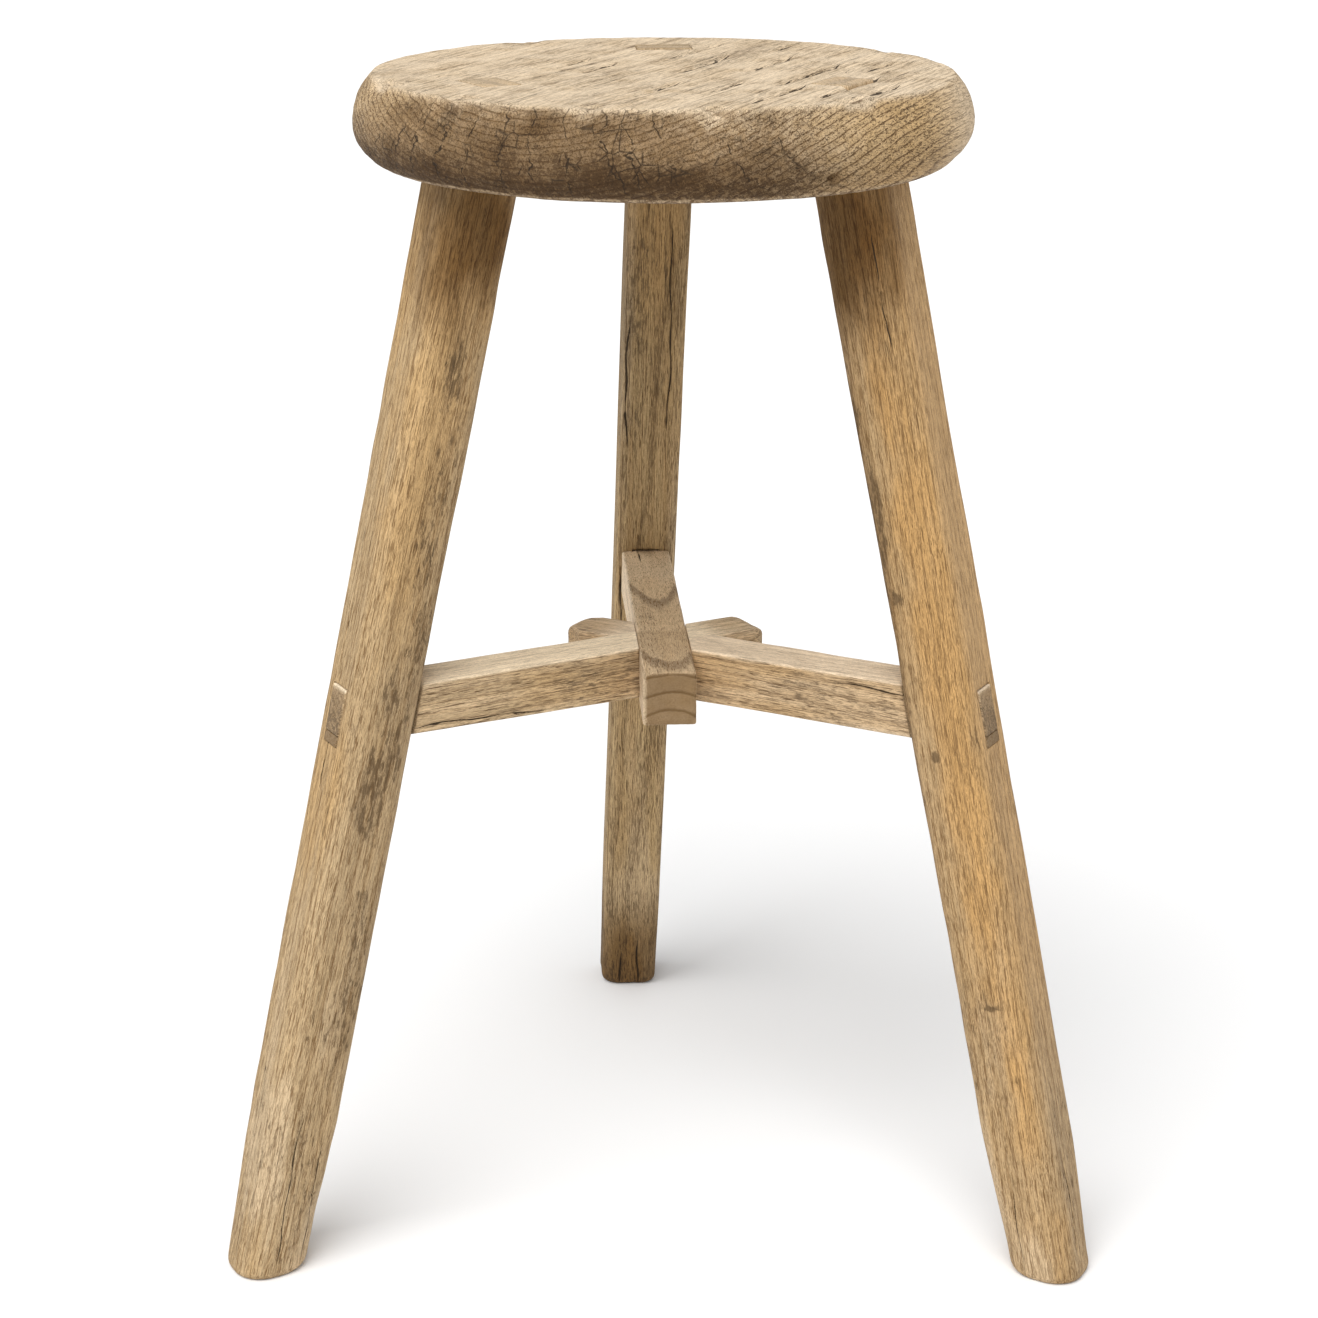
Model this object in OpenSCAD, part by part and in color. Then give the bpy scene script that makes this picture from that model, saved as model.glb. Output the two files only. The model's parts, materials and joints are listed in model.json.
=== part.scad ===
// Three-legged wooden stool: a thick round seat on three splayed, squared legs.
// Each leg is tenoned through the seat and wedged. Three stretchers cross under the seat in a
// three-way lap, and each is tenoned through its leg and wedged from outside.
// +Z is up and the floor is z = 0. The origin is the middle of the stool's footprint.

/* [Seat] */
// Height of the seat's top above the floor
seat_top = 500; // [440:5:600]
// Diameter of the seat at its widest
seat_d = 256; // [240:1:320]
// Thickness of the seat board
seat_t = 36; // [28:1:45]
// Height of the widest line, as a share of the seat's thickness
belly = 0.55; // [0.4:0.05:0.7]
// Diameter of the seat's flat top, inside its worn rim
seat_top_d = 238; // [222:1:239]
// Diameter of the seat's flat underside
seat_under_d = 232; // [216:1:237]

/* [Legs] */
// Side of the square section of the two front legs
front_leg_w = 32; // [28:0.5:36]
// Radius worn onto the long corners of the front legs
front_leg_r = 6; // [3:0.5:9]
// Side of the square section of the back leg
back_leg_w = 29; // [26:0.5:34]
// Flat planed off the long corners of the back leg, measured along a side
back_leg_flat = 3; // [1:0.5:6]
// Distance from the seat's axis to a leg's axis at the seat's underside
leg_head_r = 89.5; // [76:0.5:92]

/* [Left leg] */
// Direction of the left foot from the seat's axis
left_foot_az = 209; // [200:0.5:220]
// Distance of the left foot from the seat's axis
left_foot_r = 197.5; // [160:0.5:220]
// Direction of the left leg's head from the seat's axis
left_head_az = 210.5; // [205:0.5:215]

/* [Right leg] */
// Direction of the right foot from the seat's axis
right_foot_az = 329.5; // [320:0.5:340]
// Distance of the right foot from the seat's axis
right_foot_r = 195.5; // [160:0.5:220]
// Direction of the right leg's head from the seat's axis
right_head_az = 331; // [325:0.5:335]

/* [Back leg] */
// Direction of the back foot from the seat's axis
back_foot_az = 95; // [84:0.5:98]
// Distance of the back foot from the seat's axis
back_foot_r = 196.5; // [160:0.5:220]
// Direction of the back leg's head from the seat's axis
back_head_az = 90.5; // [86:0.5:94]

/* [Stretchers] */
// Height of the stretchers' top faces above the floor, at the crossing
bar_top = 256; // [180:1:300]
// Width of a stretcher
bar_w = 23; // [18:0.5:25]
// Height of a stretcher
bar_h = 24; // [18:0.5:28]
// Angle at which each stretcher rises from the crossing to its leg
bar_rise = 1; // [0:0.5:2]
// Length of the left stretcher past the crossing
left_stub = 48; // [32:1:60]
// Length of the right stretcher past the crossing
right_stub = 45; // [32:1:60]
// Length of the back stretcher past the crossing
back_stub = 48; // [32:1:60]

/* [Joints] */
// Width of a leg's tenon in the seat, across the stool's radius
seat_tenon_w = 24; // [18:0.5:25]
// Thickness of a leg's tenon in the seat, along the stool's radius
seat_tenon_t = 18; // [14:0.5:20]
// Width of a stretcher's tenon in its leg
bar_tenon_w = 12; // [8:0.5:14]
// Thickness of a wedge at its driven end
wedge_head = 4.5; // [3:0.5:6]
// Thickness of a wedge at its thin end
wedge_tip = 1; // [0.6:0.1:1.5]
// Depth to which a wedge is driven
wedge_depth = 26; // [16:1:27]

/* [Hidden] */
$fn = 96;

LEFT = 0;
RIGHT = 1;
BACK = 2;

// Room that a cutting solid has past the faces that it cuts
over = 10;
// Half the side of a block larger than the stool
far = 400;
// Room round a foot's section before the worn arris trims its corners
foot_ease = 1.05;

seat_under = seat_top - seat_t;
bar_bottom = bar_top - bar_h;
bar_mid = bar_top - bar_h / 2;
lap = bar_h / 3;

function polar(r, az, z) = [r * cos(az), r * sin(az), z];
function azimuth(p) = atan2(p.y, p.x);

feet = [polar(left_foot_r, left_foot_az, 0),
        polar(right_foot_r, right_foot_az, 0),
        polar(back_foot_r, back_foot_az, 0)];
heads = [polar(leg_head_r, left_head_az, seat_under),
         polar(leg_head_r, right_head_az, seat_under),
         polar(leg_head_r, back_head_az, seat_under)];
stubs = [left_stub, right_stub, back_stub];

// The run of a leg's axis from its foot to its head, its angle from upright, and its point at z
function run(leg) = heads[leg] - feet[leg];
function tilt(leg) = acos(run(leg).z / norm(run(leg)));
function on_axis(leg, z) = feet[leg] + run(leg) * z / seat_under;
// Length of a leg's axis from the floor up to height z
function length_to(leg, z) = norm(run(leg)) * z / seat_under;
function leg_w(leg) = leg == BACK ? back_leg_w : front_leg_w;

// A stretcher lies on the line from the seat's axis to its leg's axis
function bar_az(leg) = azimuth(on_axis(leg, bar_mid));
function bar_reach(leg) = let (p = on_axis(leg, bar_mid)) norm([p.x, p.y]);

// The seat's axis stands where the middle of the footprint comes to the origin
back_edge = feet[BACK].y + back_leg_w / 2 / cos(tilt(BACK));
seat_x = -(feet[LEFT].x + feet[RIGHT].x) / 2;
seat_y = (seat_d / 2 - back_edge) / 2;

wood_seat = "tan";
wood_leg = "burlywood";
wood_back = "darkkhaki";
wood_bar = "wheat";
wood_wedge = "peru";

// Frames

module stool_frame() {
  translate([seat_x, seat_y, 0]) children();
}

// +Z runs up the leg's axis from its foot, and +X faces the stretcher
module leg_frame(leg) {
  lean = azimuth(run(leg));
  translate(feet[leg])
    rotate([0, tilt(leg), lean])
      rotate(bar_az(leg) + 180 - lean) children();
}

// +X points level from the crossing towards a stretcher's leg
module bar_heading(leg) {
  rotate(bar_az(leg)) children();
}

// +X runs out along the stretcher, which rises from the crossing to its leg
module bar_frame(leg) {
  bar_heading(leg)
    translate([0, 0, bar_mid])
      rotate([0, -bar_rise, 0])
        translate([0, 0, -bar_mid]) children();
}

// Everything between two heights
module between(low, high) {
  translate([-far, -far, low]) cube([2 * far, 2 * far, high - low]);
}

// Seat

// The upper or lower half of the seat's rim: an arc from the widest line to a flat's edge
module rim_half(edge_r, rise) {
  step = seat_d / 2 - edge_r;
  r = (step * step + rise * rise) / (2 * step);
  intersection() {
    union() {
      square([seat_d / 2 - r, rise]);
      translate([seat_d / 2 - r, 0]) circle(r);
    }
    square([seat_d, rise]);
  }
}

module seat_board() {
  down = seat_t * belly;
  up = seat_t - down;
  translate([0, 0, seat_under + down])
    rotate_extrude() {
      rim_half(seat_top_d / 2, up);
      mirror([0, 1]) rim_half(seat_under_d / 2, down);
    }
}

module seat() {
  color(wood_seat) stool_frame() difference() {
    seat_board();
    for (leg = [LEFT, RIGHT, BACK]) seat_tenon(leg, seat_under - over, seat_top + over);
  }
}

// Legs

module worn_square(side, r) {
  square([side, side - 2 * r], center = true);
  square([side - 2 * r, side], center = true);
  for (x = [-1, 1], y = [-1, 1]) translate([x, y] * (side / 2 - r)) circle(r);
}

module planed_square(side, flat) {
  h = side / 2;
  k = h - flat;
  polygon([[h, -k], [h, k], [k, h], [-k, h], [-h, k], [-h, -k], [-k, -h], [k, -h]]);
}

// The leg's whole square timber, cut level at the floor and at the seat, with a worn foot
module leg_timber(leg) {
  worn_r = leg_w(leg) / 2 * foot_ease;
  intersection() {
    leg_frame(leg)
      translate([0, 0, -2 * over])
        linear_extrude(length_to(leg, seat_top) + 2 * over) {
          if (leg == BACK) planed_square(back_leg_w, back_leg_flat);
          else worn_square(front_leg_w, front_leg_r);
        }
    between(0, seat_under);
    translate(feet[leg]) cylinder(h = seat_top, r1 = worn_r, r2 = worn_r + seat_top);
  }
}

// Everything outward of the plane that stands at x in the leg's frame
module outward(leg, x) {
  leg_frame(leg) translate([x - far, -far, 0]) cube([far, 2 * far, length_to(leg, seat_top)]);
}

// The stretch of a leg's square tenon between two heights
module seat_tenon(leg, low, high) {
  intersection() {
    leg_frame(leg)
      translate([-seat_tenon_t / 2, -seat_tenon_w / 2, 0])
        cube([seat_tenon_t, seat_tenon_w, length_to(leg, seat_top) + 2 * over]);
    between(low, high);
  }
}

// A wedge in its own plane: thin end at the origin, driven along +Y, run on past its head
module wedge_outline() {
  grow = (wedge_head - wedge_tip) / wedge_depth;
  head = wedge_head + grow * over;
  polygon([[-wedge_tip / 2, 0], [wedge_tip / 2, 0], [head / 2, wedge_depth + over],
           [-head / 2, wedge_depth + over]]);
}

// The wedge that spreads a leg's tenon, before it is cut level with the seat
module seat_wedge_blank(leg) {
  leg_frame(leg)
    translate([0, seat_tenon_w / 2, length_to(leg, seat_top) - wedge_depth])
      rotate([90, 0, 0]) linear_extrude(seat_tenon_w) wedge_outline();
}

module leg(leg) {
  difference() {
    union() {
      leg_timber(leg);
      seat_tenon(leg, seat_under - over, seat_top);
    }
    seat_wedge_blank(leg);
    bar_frame(leg) bar_tenon_block(leg);
  }
}

module leg_left() {
  color(wood_leg) stool_frame() leg(LEFT);
}

module leg_right() {
  color(wood_leg) stool_frame() leg(RIGHT);
}

module leg_back() {
  color(wood_back) stool_frame() leg(BACK);
}

module seat_wedge(leg) {
  color(wood_wedge) stool_frame() intersection() {
    seat_wedge_blank(leg);
    between(seat_under, seat_top);
  }
}

module seat_wedge_left() seat_wedge(LEFT);
module seat_wedge_right() seat_wedge(RIGHT);
module seat_wedge_back() seat_wedge(BACK);

// Stretchers

// The strip that another stretcher covers at the crossing, between two heights
module lap_strip(leg, low, high) {
  bar_heading(leg) translate([-far, -bar_w / 2, low]) cube([2 * far, bar_w, high - low]);
}

// The slot that a stretcher's tenon and its wedge fill in the leg, larger by room but for its width
module bar_tenon_block(leg, room = 0) {
  translate([0, -bar_tenon_w / 2, bar_bottom - room])
    cube([bar_reach(leg) + leg_w(leg) + room, bar_tenon_w, bar_h + 2 * room]);
}

// The wedge under a stretcher's tenon before it is cut off at the leg's outer face, larger by room
// to its sides and underneath
module bar_wedge_blank(leg, room = 0) {
  head_x = bar_reach(leg) + leg_w(leg) / 2;
  grow = (wedge_head - wedge_tip) / wedge_depth;
  head = wedge_head + grow * over;
  bar_frame(leg)
    translate([0, bar_tenon_w / 2 + room, bar_bottom])
      rotate([90, 0, 0])
        linear_extrude(bar_tenon_w + 2 * room)
          polygon([[head_x - wedge_depth, -room], [head_x + over, -room],
                   [head_x + over, head], [head_x - wedge_depth, wedge_tip]]);
}

// A whole stretcher before its laps are cut: shouldered at its leg's inner face, with a through
// tenon that ends at the outer face
module bar(leg) {
  face = leg_w(leg) / 2;
  difference() {
    bar_frame(leg)
      translate([-stubs[leg], -bar_w / 2, bar_bottom])
        cube([stubs[leg] + bar_reach(leg) + leg_w(leg), bar_w, bar_h]);
    difference() {
      outward(leg, face);
      bar_frame(leg) bar_tenon_block(leg, over);
    }
    outward(leg, -face);
    bar_wedge_blank(leg, over);
  }
}

module bar_wedge(leg) {
  color(wood_wedge) stool_frame() difference() {
    bar_wedge_blank(leg);
    outward(leg, -leg_w(leg) / 2);
  }
}

// The back stretcher lies on top: it keeps its upper third at the crossing
module stretcher_back() {
  color(wood_bar) stool_frame() difference() {
    bar(BACK);
    lap_strip(LEFT, bar_bottom - over, bar_top - lap);
    lap_strip(RIGHT, bar_bottom - over, bar_top - lap);
  }
}

// The left stretcher lies in the middle
module stretcher_left() {
  color(wood_bar) stool_frame() difference() {
    bar(LEFT);
    lap_strip(BACK, bar_top - lap, bar_top + over);
    lap_strip(RIGHT, bar_bottom - over, bar_bottom + lap);
  }
}

// The right stretcher lies underneath
module stretcher_right() {
  color(wood_bar) stool_frame() difference() {
    bar(RIGHT);
    lap_strip(BACK, bar_top - lap, bar_top + over);
    lap_strip(LEFT, bar_bottom + lap, bar_top + over);
  }
}

module stretcher_wedge_left() bar_wedge(LEFT);
module stretcher_wedge_right() bar_wedge(RIGHT);
module stretcher_wedge_back() bar_wedge(BACK);

seat();
leg_left();
leg_right();
leg_back();
stretcher_left();
stretcher_right();
stretcher_back();
seat_wedge_left();
seat_wedge_right();
seat_wedge_back();
stretcher_wedge_left();
stretcher_wedge_right();
stretcher_wedge_back();
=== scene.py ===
import json
import math

import bpy
import numpy as np
from mathutils import Matrix, Vector


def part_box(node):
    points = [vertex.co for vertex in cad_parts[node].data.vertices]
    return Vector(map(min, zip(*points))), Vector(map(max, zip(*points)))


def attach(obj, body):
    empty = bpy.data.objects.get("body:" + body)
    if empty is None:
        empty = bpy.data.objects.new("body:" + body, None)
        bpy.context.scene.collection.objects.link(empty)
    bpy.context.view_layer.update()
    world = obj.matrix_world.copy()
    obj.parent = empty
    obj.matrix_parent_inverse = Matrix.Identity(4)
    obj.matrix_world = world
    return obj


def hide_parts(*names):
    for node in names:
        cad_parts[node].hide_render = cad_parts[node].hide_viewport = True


# A weathered three-legged stool. Every piece is a dense mesh in the place of its CAD node. It is
# built in the piece's own frame, in which its wood grain is worked out too. Lengths that are read
# off the frame are in metres, and the lengths of a mesh being built are in millimetres.

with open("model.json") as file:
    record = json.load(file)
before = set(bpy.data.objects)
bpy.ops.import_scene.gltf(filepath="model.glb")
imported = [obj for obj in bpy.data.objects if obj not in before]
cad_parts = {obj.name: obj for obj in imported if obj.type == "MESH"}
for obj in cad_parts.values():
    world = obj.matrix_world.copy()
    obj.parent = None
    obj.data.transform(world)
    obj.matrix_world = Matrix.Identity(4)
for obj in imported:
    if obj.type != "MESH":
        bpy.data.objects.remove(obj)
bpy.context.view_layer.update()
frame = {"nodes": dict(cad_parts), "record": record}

MM = 0.001
SIDES = ("left", "right", "back")


# ---------------------------------------------------------------- the frame's dimensions

def box_of(node):
    low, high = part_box(node)
    return np.array(low), np.array(high)


def mount(name):
    found = [m for m in frame["record"]["mounts"] if m["name"] == name]
    return np.array(found[0]["pos_m"])


def corners(node):
    mesh = frame["nodes"][node].data
    co = np.empty(len(mesh.vertices) * 3)
    mesh.vertices.foreach_get("co", co)
    return co.reshape(-1, 3)


def span(node, origin, axis, keep=None):
    """Lowest and highest reach of a node's corners along an axis."""
    points = corners(node)
    if keep is not None:
        points = points[keep(points)]
    reach = (points - origin) @ axis
    return reach.min(), reach.max()


def unit(v):
    return v / np.linalg.norm(v)


SEAT_LOW, SEAT_HIGH = box_of("seat")
SEAT_MID = (SEAT_LOW + SEAT_HIGH) / 2
SEAT_R = (SEAT_HIGH[0] - SEAT_LOW[0]) / 2
SEAT_TOP = SEAT_HIGH[2]
SEAT_UNDER = SEAT_LOW[2]
SEAT_THICK = SEAT_TOP - SEAT_UNDER
AXIS_XY = SEAT_MID[:2]
BAR_RISE = math.radians(1.0)    # angle at which a stretcher rises from the crossing to its leg


def lap_levels():
    """Heights of the middle third of the crossing, read off the left stretcher's lap."""
    low, high = box_of("stretcher_left")
    points = corners("stretcher_left")
    near = np.hypot(*(points[:, :2] - AXIS_XY).T) < 30 * MM
    level = np.abs(points[:, 2] - (low[2] + high[2]) / 2) < 7 * MM
    heights = points[near & level, 2]
    return heights.min(), heights.max()


LAP_LOW, LAP_HIGH = lap_levels()
LAP = LAP_HIGH - LAP_LOW
BAR_MID = (LAP_LOW + LAP_HIGH) / 2
BAR_H = 3 * LAP
BAR_LOW = BAR_MID - BAR_H / 2


def leg_axes(side):
    """A leg's foot point and its frame: x towards its stretcher, z up its axis."""
    foot = mount("foot_%s_sole" % side)
    low, high = box_of("seat_wedge_%s" % side)
    up = unit((low + high) / 2 - foot)
    at_bar = foot + up * (BAR_MID - foot[2]) / up[2]
    inward = np.array([AXIS_XY[0] - at_bar[0], AXIS_XY[1] - at_bar[1], 0.0])
    across = unit(np.cross(up, inward))
    return foot, np.cross(across, up), across, up, unit(inward)


def matrix(origin, x, y, z):
    m = Matrix.Identity(4)
    for column, v in enumerate((x, y, z, origin)):
        for row in range(3):
            m[row][column] = float(v[row])
    return m


def leg_place(side):
    foot, inward, across, up, _ = leg_axes(side)
    return matrix(foot, inward, across, up)


def leg_reach(side, level):
    """How far along a leg's axis, from its foot, a height lies, in millimetres."""
    foot, _, _, up, _ = leg_axes(side)
    return (level - foot[2]) / up[2] / MM


def level_ends(side):
    """Shears rings round a leg's axis so that they lie level with the floor."""
    _, inward, across, up, _ = leg_axes(side)
    return lambda x, y, z: z - (x * inward[2] + y * across[2]) / up[2]


# ---------------------------------------------------------------- noise and small formulas

def lattice(ix, iy, iz, seed):
    n = (ix * 374761393 + iy * 668265263 + iz * 1440662683 + seed * 974634777) & 0xFFFFFFFF
    n = ((n ^ (n >> 13)) * 1274126177) & 0xFFFFFFFF
    return ((n ^ (n >> 16)) & 0xFFFF) / 32767.5 - 1.0


def noise(x, y, z, seed):
    """Smooth value noise between -1 and 1."""
    x, y, z = np.broadcast_arrays(x, y, z)
    ix, iy, iz = (np.floor(a).astype(np.int64) for a in (x, y, z))
    fx, fy, fz = x - ix, y - iy, z - iz
    fx, fy, fz = (f * f * (3 - 2 * f) for f in (fx, fy, fz))
    total = 0.0
    for dx in (0, 1):
        for dy in (0, 1):
            for dz in (0, 1):
                weight = (fx if dx else 1 - fx) * (fy if dy else 1 - fy) * (fz if dz else 1 - fz)
                total = total + weight * lattice(ix + dx, iy + dy, iz + dz, seed)
    return total


def rough_noise(x, y, z, seed, octaves=3):
    return sum(noise(x * 2**k, y * 2**k, z * 2**k, seed + k) * 0.5**k for k in range(octaves))


def smooth(low, high, x):
    t = np.clip((x - low) / (high - low), 0, 1)
    return t * t * (3 - 2 * t)


def corner_noise(along, length, apart, seed):
    """Slow changes along a timber, one for each of its four corners."""
    return np.stack([noise(along / length, apart * k, 0.5, seed) for k in range(4)], axis=-1)


def wobble(along, phase):
    """The way a crack strays from a straight line, in millimetres."""
    return 0.9 * np.sin(along * 0.055 + phase) + 0.35 * np.sin(along * 0.21 + 2.3 * phase)


# ---------------------------------------------------------------- meshes

def make_object(name, verts, faces_list):
    """A mesh object from an array of points and arrays of quads or triangles."""
    mesh = bpy.data.meshes.new(name)
    flat = np.concatenate([f.ravel() for f in faces_list]).astype(np.int32)
    sizes = np.concatenate([np.full(len(f), f.shape[1]) for f in faces_list]).astype(np.int32)
    starts = np.concatenate([[0], np.cumsum(sizes)[:-1]]).astype(np.int32)
    mesh.vertices.add(len(verts))
    mesh.vertices.foreach_set("co", verts.astype(np.float32).ravel())
    mesh.loops.add(len(flat))
    mesh.loops.foreach_set("vertex_index", flat)
    mesh.polygons.add(len(sizes))
    mesh.polygons.foreach_set("loop_start", starts)
    mesh.update(calc_edges=True)
    mesh.validate()
    obj = bpy.data.objects.new(name, mesh)
    bpy.context.scene.collection.objects.link(obj)
    return obj


def ring_faces(rows, count, first=0):
    """Quads between consecutive closed rings of points."""
    i = np.arange(rows - 1)[:, None] * count + first
    j = np.arange(count)[None, :]
    k = (j + 1) % count
    return np.stack([i + j, i + k, i + count + k, i + count + j], axis=-1).reshape(-1, 4)


def capped_tube(name, rings, cap_steps=9):
    """A closed tube through rings of points, with each end filled by shrinking rings."""
    shrink = (1 - np.arange(1, cap_steps) / cap_steps)[:, None, None]
    low_cap, high_cap = (end.mean(axis=0) + (end - end.mean(axis=0))[None] * shrink
                         for end in (rings[0], rings[-1]))
    stack = np.concatenate([low_cap[::-1], rings, high_cap])
    rows, count, _ = stack.shape
    quads = ring_faces(rows, count)
    verts = np.concatenate([stack.reshape(-1, 3), [rings[0].mean(axis=0), rings[-1].mean(axis=0)]])
    j = np.arange(count)
    k = (j + 1) % count
    last = (rows - 1) * count
    low_tip = np.full(count, rows * count)
    start = np.stack([low_tip, k, j], axis=-1)
    finish = np.stack([low_tip + 1, last + j, last + k], axis=-1)
    return make_object(name, verts, [quads, start, finish])


def read_points(obj):
    co = np.empty(len(obj.data.vertices) * 3, dtype=np.float32)
    obj.data.vertices.foreach_get("co", co)
    return co.reshape(-1, 3).astype(float)


def write_value(obj, name, values):
    layer = obj.data.attributes.new(name, "FLOAT", "POINT")
    layer.data.foreach_set("value", np.clip(values, 0, 1).astype(np.float32))


def square_section(half_x, half_y, radius, flat_points, arc_points):
    """Rounded rectangles, one per row: points and outward normals.

    half_x and half_y have one value per row, and radius one value per row and corner."""
    points, normals = [], []
    signs = ((1, 1), (-1, 1), (-1, -1), (1, -1))
    for corner, (sx, sy) in enumerate(signs):
        r = radius[:, corner, None]
        turn = np.linspace(0, math.pi / 2, arc_points)[None] + corner * math.pi / 2
        ox, oy = np.cos(turn), np.sin(turn)
        x = sx * (half_x[:, None] - r) + r * ox
        y = sy * (half_y[:, None] - r) + r * oy
        points.append(np.stack([x, y], axis=-1))
        normals.append(np.broadcast_to(np.stack([ox, oy], axis=-1), points[-1].shape))
    out_points, out_normals = [], []
    for corner in range(4):
        follow = (corner + 1) % 4
        out_points.append(points[corner])
        out_normals.append(normals[corner])
        share = (np.arange(1, flat_points + 1) / (flat_points + 1))[None, :, None]
        a, b = points[corner][:, -1:], points[follow][:, :1]
        out_points.append(a + (b - a) * share)
        out_normals.append(np.broadcast_to(normals[corner][:, -1:], out_points[-1].shape))
    return np.concatenate(out_points, axis=1), np.concatenate(out_normals, axis=1)


def cut(obj, *tools):
    """Cuts tools out of obj with boolean modifiers, and applies them."""
    for tool in tools:
        step = obj.modifiers.new("cut", "BOOLEAN")
        step.operation = "DIFFERENCE"
        step.solver = "MANIFOLD"
        step.object = tool
    bpy.context.view_layer.update()
    graph = bpy.context.evaluated_depsgraph_get()
    done = bpy.data.meshes.new_from_object(obj.evaluated_get(graph))
    obj.modifiers.clear()
    obj.data = done
    for tool in tools:
        bpy.data.objects.remove(tool)


BOX_FACES = np.array([[0, 2, 3, 1], [4, 5, 7, 6], [0, 1, 5, 4], [2, 6, 7, 3], [0, 4, 6, 2],
                      [1, 3, 7, 5]])


PAST = 0.05    # how far a cutting tool runs past what it cuts, in metres


def cutting_tool(verts, place):
    """A six-sided tool in a frame, from its eight corners."""
    obj = make_object("tool", np.array(verts), [BOX_FACES])
    obj.matrix_world = place
    return obj


def block(low, high, place):
    x, y, z = zip(low, high)
    return cutting_tool([[i, j, k] for k in z for j in y for i in x], place)


# ---------------------------------------------------------------- timber

# Cracks that run with the grain, in a piece's own frame: the face each opens on, its place across
# that face, its low and high ends, its width, its depth, and its wobble's phase. crack_depth and
# crack_mask scale the width and the depth to suit the mesh and the material.
CRACKS = {
    "leg_left": [("-y", -3.0, 4, 80, 0.30, 2, 1.9), ("-y", 8.5, 6, 70, 0.25, 2, 0.9),
                 ("-x", 3.0, 215, 300, 0.35, 2, 5.1)],
    "leg_right": [("+y", 4.0, 2, 44, 0.28, 2, 0.9), ("+y", -9.0, 405, 462, 0.30, 2, 3.0),
                  ("-x", 2.0, 4, 60, 0.45, 2, 2.0)],
    "leg_back": [("+x", -5.5, 2, 30, 0.6, 2, 1.2), ("+x", 4.5, 2, 38, 0.6, 2, 2.7),
                 ("+x", 7.0, 330, 440, 0.4, 2, 0.4), ("+x", -11.5, 320, 392, 0.7, 2, 3.6),
                 ("+x", -12.0, 215, 262, 0.7, 2, 1.6)],
    "stretcher_left": [("-y", -8.0, 60, 128, 0.45, 2, 1.4)],
    "stretcher_right": [("+y", 6.5, 84, 128, 0.45, 2, 2.4), ("-y", 4.0, 30, 100, 0.4, 2, 4.4)],
    "stretcher_back": [("+x", -3.0, 104, 128, 0.5, 2, 4.0)],
    "seat": [("-y", -45.0, -60, 30, 1.6, 3, 1.0), ("-y", -13.0, 30, 98, 2.2, 4, 2.6),
             ("-y", 6.0, -8, 62, 2.8, 4, 0.5), ("-y", 32.0, 8, 66, 3.0, 4, 4.2),
             ("-y", 59.0, -30, 50, 3.0, 4, 5.6), ("-y", 69.0, -84, -20, 2.4, 3, 3.3),
             ("-y", 88.0, -60, 16, 2.6, 4, 0.9), ("-y", 103.0, -46, -6, 2.4, 3, 2.0),
             ("-y", 21.0, -76, -30, 2.4, 3, 1.1), ("-y", -28.0, -22, 20, 2.0, 3, 5.0),
             ("-y", 44.0, -52, -18, 1.8, 3, 0.2), ("-y", 78.0, 24, 66, 2.0, 3, 3.9),
             ("-y", -74.0, -66, -26, 1.8, 3, 2.2), ("-y", 18.0, 70, 104, 1.8, 3, 1.7)],
}


def crack_depth(piece, points, halves):
    """How deep the piece's cracks go at points near its surface, in millimetres."""
    depth = np.zeros(len(points))
    for face, place, low, high, width, deep, phase in CRACKS[piece]:
        side = "xy".index(face[1])
        sign = 1 if face[0] == "+" else -1
        across, along = points[:, 1 - side], points[:, 2]
        off = np.abs(across - place - wobble(along, phase)) / (0.75 * width)
        ends = smooth(low, low + 8, along) * (1 - smooth(high - 14, high, along))
        near = smooth(halves[side] - 1.5 * deep, halves[side] - deep, sign * points[:, side])
        depth = np.maximum(depth, 0.45 * deep * np.exp(-off**2) * ends * near)
    return depth


WORN_BACK = 0.28    # how far a timber's worn faces lie inside the CAD's on average, in mm


def relief(points, seed):
    """The worn surface of old timber: slow waves, lumps, ridges and fibres, in millimetres."""
    x, y, z = points.T
    waves = 0.30 * noise(x / 30, y / 30, z / 75, seed)
    lumps = 0.12 * noise(x / 7, y / 7, z / 26, seed + 1)
    ridges = 0.09 * noise(x / 2.6, y / 2.6, z / 45, seed + 2)
    fibres = 0.05 * noise(x / 1.1, y / 1.1, z / 24, seed + 3)
    return waves + lumps + ridges + fibres


def timber(name, along, half_x, half_y, radius, seed, ends, centre_x=0.0, worn=1.0,
           flat_points=36, arc_points=11):
    """A squared timber along z. along is the place of each ring, and ends is a function that
    shears the rings, from the x, y and z of their points to a new z. All in millimetres."""
    section, normal = square_section(half_x, half_y, radius, flat_points, arc_points)
    section[..., 0] += np.broadcast_to(centre_x, along.shape)[:, None]
    z = ends(section[..., 0], section[..., 1], along[:, None])
    points = np.concatenate([section, z[..., None]], axis=-1)
    flat = points.reshape(-1, 3)
    shift = worn * (relief(flat, seed) - WORN_BACK)
    if name in CRACKS:
        shift = shift - crack_depth(name, flat, (half_x.max(), half_y.max()))
    moved = section + normal * shift.reshape(section.shape[:2])[..., None]
    return np.concatenate([moved, z[..., None]], axis=-1)


def rows_with_ends(low, high, fine, step):
    """Places from low to high, closer together over the first few millimetres at each end."""
    middle = np.linspace(low + fine, high - fine, max(2, int((high - low - 2 * fine) / step)))
    start = low + fine * np.linspace(0, 1, 13)[:-1] ** 1.6
    return np.concatenate([start, middle, high - fine * np.linspace(1, 0, 7)[1:]])


# ---------------------------------------------------------------- legs

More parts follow.
